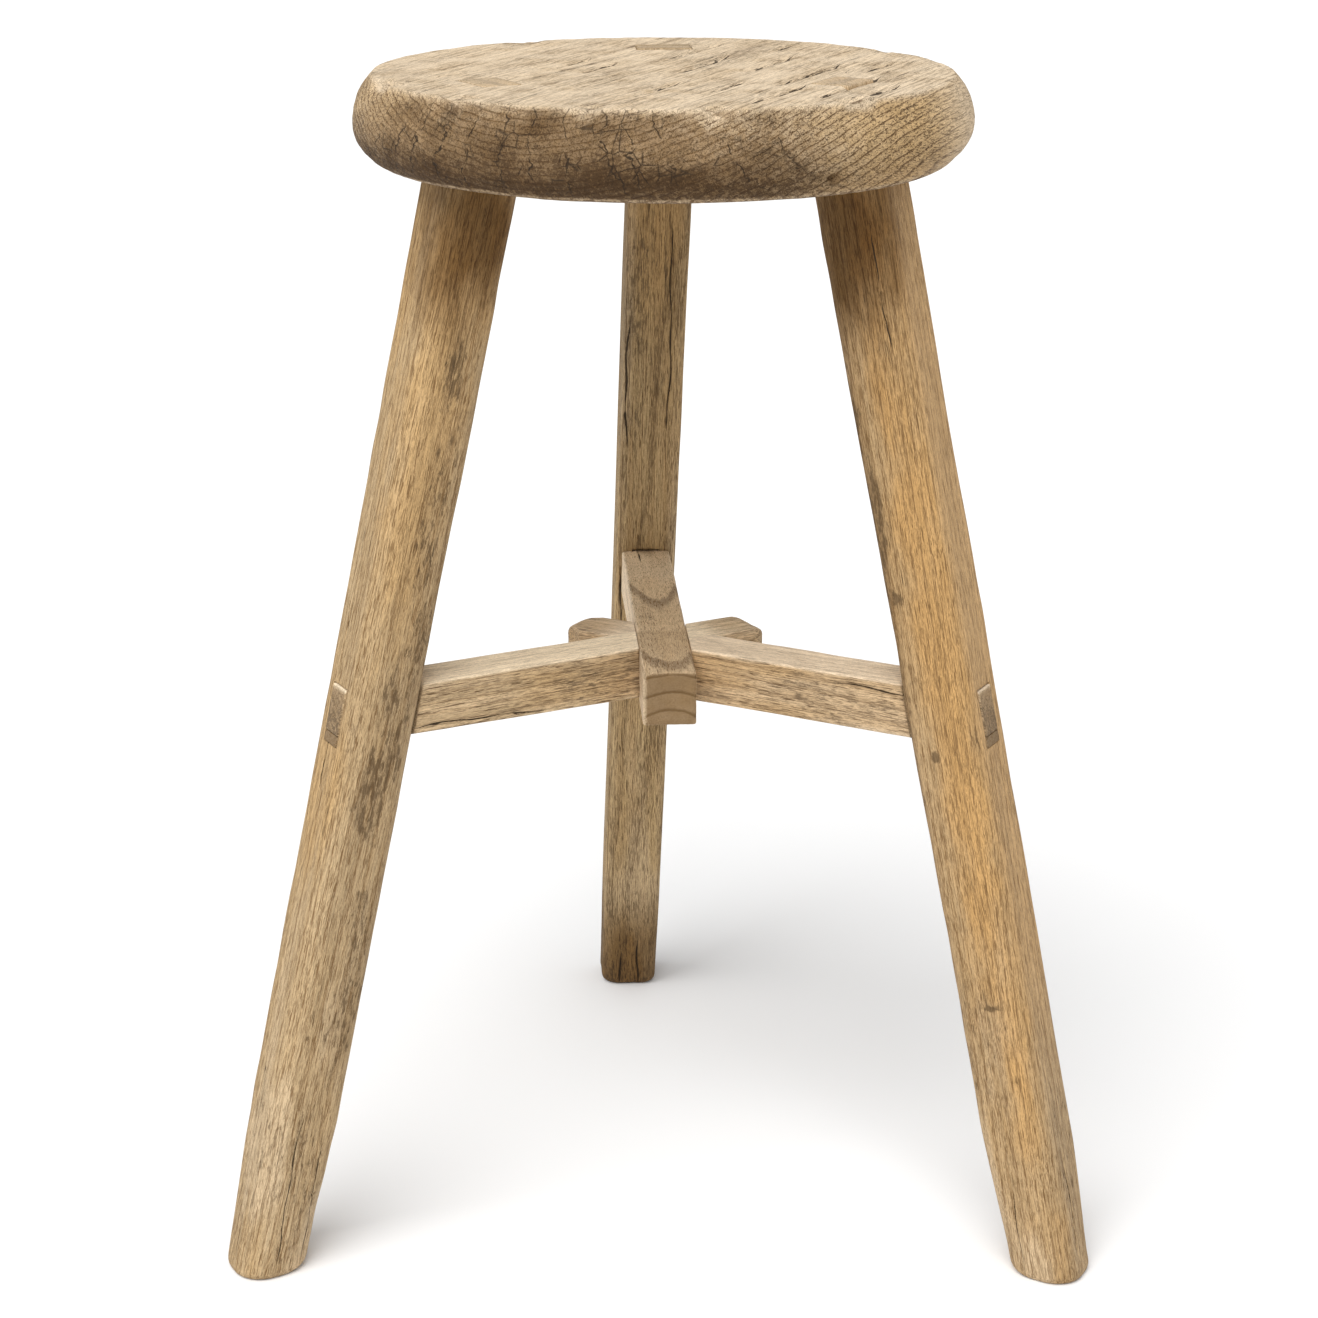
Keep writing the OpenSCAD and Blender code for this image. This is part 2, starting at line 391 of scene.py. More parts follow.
GAP = 0.35             # open line round an old joint, in mm
EASE = 0.05            # how far a tenon's sides lie inside the CAD tenon's
FOOT_ROUND = 4.5       # height of the worn arris at a foot
FOOT_SHRINK = 0.988    # width of a leg at its foot, against its width at the seat
SUNK = 0.25            # how far a leg's top lies below the seat's
# Rounding of each leg's four corners
CORNER = {"left": (6.5, 6.5, 10.0, 7.5), "right": (7.5, 10.0, 6.5, 6.5),
          "back": (3.0, 3.0, 3.4, 3.4)}


def leg_sizes(side):
    """Half widths of a leg's shaft, and of its tenon in x and y, read off the CAD leg."""
    foot, inward, across, up, _ = leg_axes(side)
    node = "leg_%s" % side
    lower = lambda p: p[:, 2] < BAR_LOW
    upper = lambda p: p[:, 2] > SEAT_TOP - 0.01 * MM
    wide = span(node, foot, across, lower)[1] / MM
    tenon_y = span(node, foot, across, upper)[1] / MM
    tenon_x = span(node, foot + up * leg_reach(side, SEAT_TOP) * MM, inward, upper)[1] / MM
    return wide, tenon_x, tenon_y


def build_leg(side, seed):
    foot, inward, across, up, _ = leg_axes(side)
    half, tenon_x, tenon_y = leg_sizes(side)
    reach, top = leg_reach(side, SEAT_UNDER), leg_reach(side, SEAT_TOP)
    body = rows_with_ends(0.0, reach, 8.0, 1.15)
    tenon = np.linspace(reach, top, 14)
    count = len(body) + len(tenon)
    along = np.concatenate([body, tenon])
    is_body = np.arange(count) < len(body)

    slow = corner_noise(along, 60, 3.7, seed + 20)
    quick = corner_noise(along, 14, 5.1, seed + 21)
    radius = np.array(CORNER[side])[None] * (1 + 0.22 * slow + 0.10 * quick)
    radius = np.minimum(radius * (1 + 1.1 * smooth(70, 0, along))[:, None], 0.8 * half)
    radius[~is_body] = 0.6

    taper = FOOT_SHRINK + (1 - FOOT_SHRINK) * along / reach
    near_foot = np.clip(1 - along / (FOOT_ROUND * (1 + 0.25 * quick[:, 0])), 0, 1)
    inset = FOOT_ROUND * 0.55 * (1 - np.sqrt(1 - near_foot**2))
    half_x = np.where(is_body, half * taper - inset, tenon_x - EASE)
    half_y = np.where(is_body, half * taper - inset, tenon_y - EASE)
    along[-1] -= SUNK

    rings = timber("leg_%s" % side, along, half_x, half_y, radius, seed, level_ends(side))
    flat = rings.reshape(-1, 3)
    height = foot[2] / MM + flat @ np.array([inward[2], across[2], up[2]])
    flat[:, 2] -= np.minimum(height, 0) / up[2]
    obj = capped_tube("leg_%s_wood" % side, flat.reshape(rings.shape) * MM)
    obj.matrix_world = leg_place(side)

    bar = bar_frame(side)
    slot_x, slot_y = BAR_H / 2 + GAP * MM, bar_tenon_half(side) + GAP * MM
    slot = block((-slot_x, -slot_y, bar["reach"] - PAST), (slot_x, slot_y, bar["reach"] + PAST),
                 bar["place"])
    wedge = wedge_points(top - WEDGE_RUN, top, run_on=10.0, half_width=20.0) * MM
    cut(obj, slot, cutting_tool(wedge, leg_place(side)))
    return obj


# ---------------------------------------------------------------- wedges

WEDGE_RUN = 26.0     # length of a wedge, in mm
WEDGE_TIP = 1.0      # its thickness at its tip
WEDGE_HEAD = 4.5     # and at its head


def wedge_points(low, high, run_on, half_width):
    """A wedge's eight corners: x across its thickness, y along its width, z up its length."""
    grow = (WEDGE_HEAD - WEDGE_TIP) / (high - low)
    thick = {low: WEDGE_TIP / 2, high + run_on: WEDGE_HEAD / 2 + grow * run_on / 2}
    return np.array([[sx * t, sy * half_width, z] for z, t in thick.items()
                     for sy in (-1, 1) for sx in (-1, 1)])


def wedge_thickness(along):
    share = (along - along[0]) / WEDGE_RUN
    return WEDGE_TIP + (WEDGE_HEAD - WEDGE_TIP) * share


def build_wedge(node, along, half_x, half_width, seed, ends, place, centre_x=0.0, flat_points=16):
    half_y = np.full(len(along), half_width)
    radius = np.full((len(along), 4), 0.25)
    rings = timber("wedge", along, half_x, half_y, radius, seed, ends, centre_x, worn=0.25,
                   flat_points=flat_points, arc_points=4)
    obj = capped_tube(node + "_wood", rings * MM)
    obj.matrix_world = place
    return obj


def build_seat_wedge(side, node, seed):
    top = leg_reach(side, SEAT_TOP)
    along = np.linspace(top - WEDGE_RUN, top - 0.3, 28)
    return build_wedge(node, along, wedge_thickness(along) / 2 - 0.12, leg_sizes(side)[2] - 0.3,
                       seed, level_ends(side), leg_place(side))


# ---------------------------------------------------------------- stretchers

BAR_CORNER = 1.5     # rounding of a stretcher's arrises
LAP_REACH = 0.06     # half the length of a tool that cuts a lap, in metres
# Half width of each stretcher at its stub, at the crossing and at its leg, against the CAD bar's
FLARE = {"left": (0.95, 0.97, 1.0), "right": (0.95, 0.97, 1.0), "back": (1.0, 0.98, 1.0)}
# How far each stretcher's underside is planed up at its stub, at the crossing and at its leg
PLANED = {"left": (0.4, 0.4, 1.8), "right": (0.2, 0.0, 0.0), "back": (0.0, 0.2, 0.8)}


def bar_frame(side):
    """A stretcher's frame: x up, z out to its leg. reach is where it meets the leg's axis."""
    foot, facing, across, _, inward = leg_axes(side)
    origin = np.array([AXIS_XY[0], AXIS_XY[1], BAR_MID])
    level, upright = -inward, np.array([0.0, 0.0, 1.0])
    out = level * math.cos(BAR_RISE) + upright * math.sin(BAR_RISE)
    rise = upright * math.cos(BAR_RISE) - level * math.sin(BAR_RISE)
    right = np.cross(level, upright)
    lean = out @ facing
    half = span("leg_%s" % side, foot, across, lambda p: p[:, 2] < BAR_LOW)[1]
    return {"place": matrix(origin, rise, right, out), "out": out, "right": right,
            "level": matrix(origin, upright, right, level), "origin": origin,
            "reach": -((origin - foot) @ facing) / lean, "slope": -(rise @ facing) / lean,
            "face": half / abs(lean)}


def bar_tenon_half(side):
    bar = bar_frame(side)
    node = "stretcher_wedge_%s" % side
    return span(node, bar["origin"], bar["right"])[1]


def stub_inset(side, away):
    """How far a stub's worn end draws in, in height and in width, at a distance from the end."""
    def rounded(r, share=1.0):
        t = np.clip(1 - away / r, 0, 1)
        return share * r * (1 - np.sqrt(np.clip(1 - t**2, 0, 1)))
    if side == "left":
        return rounded(8.0, 0.75), rounded(9.0, 0.75)
    if side == "right":
        return rounded(5.0, 0.6), np.clip(9.0 - away, 0, 9.0) * 0.6
    return rounded(1.2, 0.8), rounded(1.2, 0.8)


def build_bar(side, seed):
    bar = bar_frame(side)
    reach, face = bar["reach"] / MM, bar["face"] / MM
    node = "stretcher_%s" % side
    stub = -span(node, bar["origin"], bar["out"])[0] / MM
    half = span(node, bar["origin"], bar["right"])[1] / MM
    height = BAR_H / MM / 2
    shoulder = reach - face
    body = rows_with_ends(-stub, shoulder, 9.0, 0.8)
    tenon = np.linspace(shoulder, reach + face, 24)
    along = np.concatenate([body, tenon])
    is_body = np.arange(len(along)) < len(body)
    in_height, in_width = stub_inset(side, along + stub)

    stations = (-stub, 0.0, shoulder)
    half_y = half * np.interp(along, stations, FLARE[side]) - in_width
    planed = np.interp(along, stations, PLANED[side])
    half_x = height - planed / 2 - in_height
    driven = np.clip((along - (reach + face - WEDGE_RUN)) / WEDGE_RUN, 0, 1)
    wedge = (WEDGE_TIP + (WEDGE_HEAD - WEDGE_TIP) * driven) * (driven > 0)
    half_y = np.where(is_body, half_y, bar_tenon_half(side) / MM - EASE)
    half_x = np.where(is_body, half_x, height - wedge / 2 - 0.1)
    centre_x = np.where(is_body, planed / 2, wedge / 2)

    radius = BAR_CORNER * (1 + 0.35 * corner_noise(along, 12, 4.3, seed + 21))
    if side == "back":
        radius[:, 3] += 3.5 * smooth(16, 0, along + stub)
    if side == "left":
        radius[:, 1] += 2.0 * smooth(70, 118, along)
    radius[~is_body] = 0.4
    room = np.minimum(half_x, half_y)[:, None] * 0.9
    radius = np.minimum(radius, room)

    def ends(x, y, z):
        return z + bar["slope"] * x * smooth(0, 0.6 * shoulder, z)

    rings = timber(node, along, half_x, half_y, radius, seed, ends, centre_x)
    flat = rings.reshape(-1, 3)
    flat[:, 0] = np.clip(flat[:, 0], -height, height)
    obj = capped_tube(node + "_wood", flat.reshape(rings.shape) * MM)
    obj.matrix_world = bar["place"]
    cut(obj, *lap_tools(side))
    return obj


def lap_block(side, low, high):
    """The strip of another stretcher at the crossing, between two heights from its mid height."""
    bar = bar_frame(side)
    half = span("stretcher_%s" % side, bar["origin"], bar["right"])[1] * FLARE[side][1] + 0.1 * MM
    return block((low, -half, -LAP_REACH), (high, half, LAP_REACH), bar["level"])


def lap_tools(side):
    top, low = BAR_H / 2, -BAR_H / 2
    over = 0.005
    slack = 0.02 * MM
    if side == "back":
        return [lap_block("left", low - over, top - LAP + slack),
                lap_block("right", low - over, top - LAP + slack)]
    if side == "left":
        return [lap_block("back", top - LAP - slack, top + over),
                lap_block("right", low - over, low + LAP + slack)]
    return [lap_block("back", top - LAP - slack, top + over),
            lap_block("left", low + LAP - slack, top + over)]


def build_bar_wedge(side, node, seed):
    bar = bar_frame(side)
    end = (bar["reach"] + bar["face"]) / MM
    along = np.linspace(end - WEDGE_RUN, end - 0.15, 26)
    thick = wedge_thickness(along) - 0.15
    return build_wedge(node, along, thick / 2, bar_tenon_half(side) / MM - 0.2, seed,
                       lambda x, y, z: z + bar["slope"] * x, bar["place"],
                       thick / 2 - BAR_H / MM / 2, flat_points=12)


# ---------------------------------------------------------------- seat

GRAIN_AZ = math.radians(67)    # the way the seat's grain runs, from +X
PITH_UP = 135.0                # height of the tree's pith above the seat's middle, in mm
PITH_SIDE = -6.0               # and its distance to the side
RING = 2.6                     # width of a growth ring, in mm
TOP_FLAT = 0.930               # radius of the flat top, as a share of the seat's
UNDER_FLAT = 0.906             # and of the flat underside
BELLY = 0.55                   # height at which the seat is widest, as a share of its thickness
GRID = 200                     # points along a side of the top's mesh
UNDER_RINGS = (0.985, 0.95, 0.85, 0.7, 0.5, 0.3, 0.1)
BELOW, ABOVE = 0.02, 0.03      # how far a mortise's tool runs past the seat, in metres
DISH = 0.6                     # how far the middle of the top is worn down, in mm

# Chips out of the rim: direction, height as a share of the thickness, depth, reach across and up
CHIPS = [(279, 0.94, 2.4, 5, 3.2), (308, 0.94, 1.8, 8, 4), (200, 0.98, 3.0, 9, 3.5),
         (300, 0.22, 3.2, 2.2, 2.0), (228, 0.9, 1.3, 6, 5), (256, 0.97, 1.0, 5, 3),
         (35, 0.95, 0.9, 9, 4), (120, 0.9, 1.0, 10, 5), (160, 0.06, 1.2, 12, 4)]


def seat_frame():
    """x across the grain, y down, z along the grain."""
    along = np.array([math.cos(GRAIN_AZ), math.sin(GRAIN_AZ), 0.0])
    across = np.array([math.sin(GRAIN_AZ), -math.cos(GRAIN_AZ), 0.0])
    return across, np.cross(along, across), along


def seat_profile(thick, r):
    """The rim from the top's edge to the underside's edge: radius, height, and outward normal."""
    def arc(edge, rise):
        step = r * (1 - edge)
        size = (step**2 + rise**2) / (2 * step)
        return size, math.asin(rise / size)
    up, down = thick * BELLY, thick * (1 - BELLY)
    up_r, up_turn = arc(TOP_FLAT, up)
    low_r, low_turn = arc(UNDER_FLAT, down)
    turn = np.concatenate([np.linspace(up_turn, 0, 30), np.linspace(0, -low_turn, 28)[1:]])
    size = np.where(turn >= 0, up_r, low_r)
    radius = r - size + size * np.cos(turn)
    height = down + size * np.sin(turn)
    return radius, height, np.cos(turn), np.sin(turn)


def disc_grid(n):
    """A square grid pressed into a unit disc, and its edge as a loop of indices."""
    g = np.linspace(-1, 1, n)
    x, y = np.meshgrid(g, g, indexing="ij")
    u = x * np.sqrt(1 - y**2 / 2)
    v = y * np.sqrt(1 - x**2 / 2)
    index = np.arange(n * n).reshape(n, n)
    loop = np.concatenate([index[:-1, 0], index[-1, :-1], index[:0:-1, -1], index[0, :0:-1]])
    quads = np.stack([index[:-1, :-1], index[1:, :-1], index[1:, 1:], index[:-1, 1:]], axis=-1)
    return np.stack([u.ravel(), v.ravel()], axis=-1), loop, quads.reshape(-1, 4)


def bearing_of(points):
    """The way from the seat's middle to each point, in degrees round from +X."""
    return np.degrees(np.arctan2(points[:, 1], points[:, 0])) % 360


def arc_between(bearing, where, r):
    """Distance round the rim from one bearing to another, in millimetres."""
    return ((bearing - where + 180) % 360 - 180) * math.pi / 180 * r


def facing_right(bearing, start, full):
    """0 to 1 as a bearing on the seat, in degrees, turns from the front to the right."""
    return smooth(start, full, bearing) + smooth(60, 20, bearing) * (bearing < 90)


def rings_of_growth(x, y, z):
    """Distance from the pith in growth rings, with the waviness of a real tree."""
    far = np.hypot(x - PITH_SIDE, y + PITH_UP)
    return far / RING + 0.8 * noise(x / 60, y / 60, z / 160, 77)


def seat_mesh(thick, r):
    """The seat before wear: points, normals and faces, and how far each point is past the top's
    edge. The top is a pressed grid, and the rim and the underside are rings round it."""
    radius, height, out, rise = seat_profile(thick, r)
    disc, loop, top_quads = disc_grid(GRID)
    edge = disc[loop]
    edge = edge / np.linalg.norm(edge, axis=1)[:, None]
    count, first = len(loop), len(disc)
    points = [np.column_stack([disc * radius[0], np.full(first, thick)])]
    normals = [np.tile([0.0, 0.0, 1.0], (first, 1))]
    under = [(radius[-1] * share, 0.0, 0.0, -1.0) for share in UNDER_RINGS]
    rings = list(zip(radius[1:], height[1:], out[1:], rise[1:])) + under
    for far, z, outward, up in rings:
        points.append(np.column_stack([edge * far, np.full(count, z)]))
        normals.append(np.column_stack([edge * outward, np.full(count, up)]))
    points = np.concatenate(points + [[[0.0, 0.0, 0.0]]])
    normals = np.concatenate(normals + [[[0.0, 0.0, -1.0]]])

    j = np.arange(count)
    k = (j + 1) % count
    join = np.stack([loop[j], first + j, first + k, loop[k]], axis=-1)
    rim_quads = ring_faces(len(rings), count, first)[:, ::-1]
    last = first + (len(rings) - 1) * count
    fan = np.stack([last + j, np.full(count, last + count), last + k], axis=-1)

    # The normals turn gradually from the flat top to the rim, so that wear keeps the edge whole
    away = np.hypot(points[:, 0], points[:, 1]) - radius[0]
    outward = np.column_stack([points[:, :2] / np.maximum(away + radius[0], 1)[:, None],
                               np.zeros(len(points))])
    crease = unit(np.array([out[0], 1 + rise[0]]))
    turned = outward * crease[0] + np.array([0.0, 0.0, crease[1]])
    on_top = points[:, 2] > thick - 1.5
    share = np.where(away <= 0, smooth(-2.0, 0, away), smooth(1.0, 0, away)) * on_top
    normals = normals + (turned - normals) * share[:, None]
    normals /= np.linalg.norm(normals, axis=1)[:, None]
    return points, normals, [top_quads, join, rim_quads, fan], away


def seat_wear(points, normals, local, away, thick, r):
    """How far the seat's surface moves out, in millimetres: waves, raised grain, chips, cracks."""
    x, y, z = local.T
    along = seat_frame()[2]
    bearing = bearing_of(points)
    reach = np.hypot(points[:, 0], points[:, 1])
    edge = r * TOP_FLAT
    is_rim = smooth(edge - 3, edge + 4, reach)
    end_grain = np.abs(normals[:, :2] @ along[:2]) * is_rim
    ripple = np.abs((rings_of_growth(x, y, z) % 1) - 0.5) * 2

    shift = 0.25 * noise(x / 34, y / 34, z / 60, 5) + 0.12 * noise(x / 9, y / 9, z / 24, 6)
    shift += 0.06 * noise(x / 2.2, y / 2.2, z / 34, 7) - 0.38
    shift += end_grain * (0.22 * ripple - 0.11 + 0.20 * noise(x / 2.1, y / 2.1, z / 2.1, 8))
    shift += is_rim * 0.20 * rough_noise(x / 8, y / 5, z / 8, 12)
    shift += is_rim * 0.18 * noise(np.cos(np.radians(bearing)) * 2.5,
                                   np.sin(np.radians(bearing)) * 2.5, 0.5, 9)
    shift -= 0.28 * is_rim
    shift -= DISH * np.exp(-(reach / 70) ** 2) * (normals[:, 2] > 0.99)
    worn_edge = np.exp(-(away / 3.0) ** 2) * (points[:, 2] > thick / 2)
    soft_side = 0.15 + 0.85 * facing_right(bearing, 275, 320)
    shift -= worn_edge * soft_side * (0.40 + 0.30 * rough_noise(x / 11, 1.5, z / 11, 10))
    low_right = facing_right(bearing, 285, 330)
    shift -= is_rim * low_right * smooth(0.45, 0.0, points[:, 2] / thick) * 0.9
    for where, level, depth, wide, tall in CHIPS:
        spread = (arc_between(bearing, where, r) / wide) ** 2
        spread = spread + ((points[:, 2] - level * thick) / tall) ** 2
        spread = spread + 0.5 * noise(x / 3, y / 3, z / 3, 11)
        shift -= depth * np.exp(-np.clip(spread, 0, None) ** 1.5) * (reach > edge - tall - 3)
    shift -= crack_depth("seat", local, (r, thick / 2))
    return np.where(normals[:, 2] > -0.99, shift, -0.1)


def build_seat():
    across, down, along = seat_frame()
    thick, r = SEAT_THICK / MM, SEAT_R / MM

    def in_grain(p):
        return np.column_stack([p[:, :2] @ across[:2], thick / 2 - p[:, 2], p[:, :2] @ along[:2]])

    points, normals, faces, away = seat_mesh(thick, r)
    shift = seat_wear(points, normals, in_grain(points), away, thick, r)
    points = points + normals * shift[:, None]
    points[:, 2] = np.clip(points[:, 2], 0, thick)
    obj = make_object("seat_wood", in_grain(points) * MM, faces)
    obj.matrix_world = matrix(SEAT_MID, across, down, along)
    mortises = []
    for side in SIDES:
        half_x, half_y = ((half + 0.8 * GAP) * MM for half in leg_sizes(side)[1:])
        mortises.append(block((-half_x, -half_y, SEAT_UNDER - BELOW),
                              (half_x, half_y, SEAT_TOP + ABOVE), leg_place(side)))
    cut(obj, *mortises)
    return obj


# ---------------------------------------------------------------- wood

class Wood:
    """Builds one piece's node material. Sizes are in millimetres, in the piece's own frame,
    where z runs along the timber. The grain runs along z too, turned a little by run_out."""

    def __init__(self, name, look, own_frame):
        self.material = bpy.data.materials.new(name)
        self.material.use_nodes = True
        self.tree = self.material.node_tree
        self.tree.nodes.clear()
        coords = self.node("ShaderNodeTexCoord", {}).outputs
        rotation = own_frame.to_euler()
        inside = self.settled(coords["Object"], own_frame.to_translation(), rotation)
        self.vector = self.vector_math("MULTIPLY", inside, (1 / MM,) * 3)
        self.place = self.split(self.vector)
        self.facing = self.split(self.settled(coords["Normal"], (0.0, 0.0, 0.0), rotation))
        self.turned = self.settled(self.vector, look["pith"], look["run_out"])
        apart = tuple(look["seed"] * step for step in (37.0, 11.0, 53.0))
        self.own = self.vector_math("ADD", self.turned, apart)

    def put(self, socket, value):
        if isinstance(value, bpy.types.NodeSocket):
            self.tree.links.new(value, socket)
        else:
            socket.default_value = value

    def node(self, kind, inputs, **settings):
        """A node, with values or other nodes' outputs put into its inputs."""
        made = self.tree.nodes.new(kind)
        for key, value in settings.items():
            setattr(made, key, value)
        for key, value in inputs.items():
            self.put(made.inputs[key], value)
        return made

    def math(self, operation, a, b=0.0, c=0.0, clamp=False):
        return self.node("ShaderNodeMath", {0: a, 1: b, 2: c}, operation=operation,
                         use_clamp=clamp).outputs[0]

    def add(self, a, by, onto, clamp=False):
        """a times by, added onto a third value."""
        return self.math("MULTIPLY_ADD", a, by, onto, clamp)

    def less(self, a, b, clamp=False):
        return self.math("SUBTRACT", a, b, clamp=clamp)

    def join(self, operation, *values):
        total = values[0]
        for value in values[1:]:
            total = self.math(operation, total, value)
        return total

    def multiply(self, *values):
        return self.join("MULTIPLY", *values)

    def most(self, *values):
        return self.join("MAXIMUM", *values)

    def vector_math(self, operation, a, b):
        return self.node("ShaderNodeVectorMath", {0: a, 1: b}, operation=operation).outputs[0]

    def split(self, vector):
        return self.node("ShaderNodeSeparateXYZ", {0: vector}).outputs

    def settled(self, vector, location, rotation):
        """A vector, as it is in a frame with this place and turn."""
        inputs = {"Vector": vector, "Location": location, "Rotation": rotation}
        return self.node("ShaderNodeMapping", inputs, vector_type="TEXTURE").outputs[0]

    def noise(self, vector, sizes, detail=2.0, rough=0.5):
        inputs = {"Vector": self.vector_math("MULTIPLY", vector, sizes), "Scale": 1.0,
                  "Detail": detail, "Roughness": rough}
        return self.node("ShaderNodeTexNoise", inputs).outputs["Fac"]

    def grain(self, across, along, detail=2.0, rough=0.5):
        """Noise that follows the piece's grain, at one scale across it and another along it."""
        return self.noise(self.own, (across, across, along), detail, rough)

    def step(self, value, low, high, out_low=0.0, out_high=1.0):
        inputs = {"Value": value, "From Min": low, "From Max": high, "To Min": out_low,
                  "To Max": out_high}
        return self.node("ShaderNodeMapRange", inputs,
                         interpolation_type="SMOOTHSTEP").outputs["Result"]

    def fall(self, value, low, high):
        return self.step(value, low, high, 1.0, 0.0)

    def thin_line(self, value, width):
        """1 along the line on which a noise crosses its middle, 0 away from it."""
        return self.fall(self.math("ABSOLUTE", self.less(value, 0.5)), 0.0, width)

    def mix(self, share, a, b, blend="MIX"):
        a, b = (v if isinstance(v, bpy.types.NodeSocket) else (*v, 1.0) for v in (a, b))
        return self.node("ShaderNodeMix", {"Factor": share, "A": a, "B": b}, data_type="RGBA",
                         blend_type=blend).outputs["Result"]

    def attribute(self, name):
        return self.node("ShaderNodeAttribute", {}, attribute_name=name).outputs["Fac"]


def crack_mask(w, crack, halves):
    """1 inside a crack and 0 outside it, in the place that crack_depth gives it."""
    face, place, low, high, width, deep, phase = crack
    side = "xy".index(face[1])
    inward, across = w.place[side], w.place[1 - side]
    z = w.place[2]
    if face[0] == "-":
        inward = w.multiply(inward, -1.0)
    slow = w.math("SINE", w.add(z, 0.055, phase))
    fast = w.math("SINE", w.add(z, 0.21, 2.3 * phase))
    stray = w.math("ADD", w.multiply(slow, 0.9), w.add(fast, 0.35, place))
    jitter = w.noise(w.vector, (0.5, 0.5, 0.06), 3.0, 0.7)
    wide = w.multiply(w.step(z, low, low + 8), w.fall(z, high - 14, high),
                      w.add(jitter, 2.6 * width**0.7, -0.85 * width**0.7))
    off = w.math("ABSOLUTE", w.less(across, stray))
    return w.multiply(w.step(w.less(wide, off), -0.06, 0.10),
                      w.step(inward, halves[side] - 1.6 * deep, halves[side] - deep))


def growth_rings(w, look):
    """Distance from the pith in growth rings, gently waved; a shade for each year; early wood."""
    far = w.node("ShaderNodeVectorMath",
                 {0: w.vector_math("MULTIPLY", w.turned, (1.0, 1.0, 0.0))}, operation="LENGTH")
    growth = w.add(far.outputs["Value"], 1.0 / look["ring"], look["phase"])
    growth = w.add(w.grain(0.035, 0.006), look["wave"], growth)
    growth = w.add(w.grain(0.16, 0.012), look["wave"] * 0.25, growth)
    year = w.math("FRACT", growth)
    shade = w.node("ShaderNodeTexWhiteNoise", {"W": w.math("FLOOR", growth)},
                   noise_dimensions="1D").outputs["Value"]
    early = w.multiply(w.step(year, 0.0, 0.06), w.fall(year, 0.10, look["ring_wide"]))
    gaps = w.grain(0.55, 0.30, 3.0, 0.65)
    return growth, shade, early, w.step(gaps, look["ring_gaps"], look["ring_gaps"] + 0.12)


def end_checks(w, look, growth):
    """Checks across end grain: one set runs out from the pith, one follows the rings."""
    x, y, _ = w.place
    angle = w.math("ARCTAN2", w.less(x, look["pith"][0]), w.less(y, look["pith"][1]))
    sway = w.noise(w.vector, (0.11, 0.11, 0.11), 3.0, 0.6)
    cells = w.node("ShaderNodeTexVoronoi", {"W": w.add(sway, 0.9, w.multiply(angle, 11.0)),
                                            "Scale": 1.0},
                   voronoi_dimensions="1D", feature="DISTANCE_TO_EDGE")
    rays = w.multiply(w.fall(cells.outputs["Distance"], 0.006, 0.034),
                      w.step(w.noise(w.vector, (0.13, 0.16, 0.05)), 0.39, 0.49))
    grid = w.node("ShaderNodeCombineXYZ", {0: w.multiply(angle, 21.0), 1: w.multiply(growth, 0.42)})
    plates = w.node("ShaderNodeTexVoronoi", {"Vector": grid.outputs[0], "Scale": 1.0,
                                             "Randomness": 0.9}, feature="DISTANCE_TO_EDGE")
    net = w.multiply(w.fall(plates.outputs["Distance"], 0.0, 0.045),
                     w.step(w.noise(w.vector, (0.06, 0.10, 0.06)), 0.50, 0.58))
    return w.most(rays, w.multiply(net, 0.8))


def pores_and_lines(w, look, early):
    """Pores as short dashes, grain lines as long thin ones, and a fine speckle over all."""
    limit = w.add(early, -0.075, look["pore_limit"])
    limit = w.add(w.step(w.grain(0.09, 0.012), 0.35, 0.65), -0.035, limit)
    pores = w.step(w.less(w.grain(2.9, look["pore_run"], 1.0), limit), 0.0, 0.05)
    fine = w.step(w.less(w.grain(5.2, look["pore_run"] * 1.7, 1.0), limit), 0.0, 0.05)
    line = w.thin_line(w.grain(look["line_scale"], 0.0075, 2.0, 0.6), look["line_wide"])
    broken = w.step(w.grain(1.6, 0.16, 2.0, 0.6), 0.42, 0.54)
    lines = w.multiply(line, broken, look["line_show"])
    return w.most(w.multiply(fine, 0.6), w.multiply(pores, look["pore_show"]), lines)


def open_cracks(w, look, piece, halves):
    """Open checks along the grain, and the piece's own cracks."""
    spots = w.step(w.grain(0.10, 0.020), look["check_limit"], look["check_limit"] + 0.06)
    checks = w.multiply(w.thin_line(w.grain(0.26, 0.0065, 3.0, 0.62), 0.006), spots)
    return w.most(checks, *(crack_mask(w, crack, halves) for crack in CRACKS.get(piece, ())))


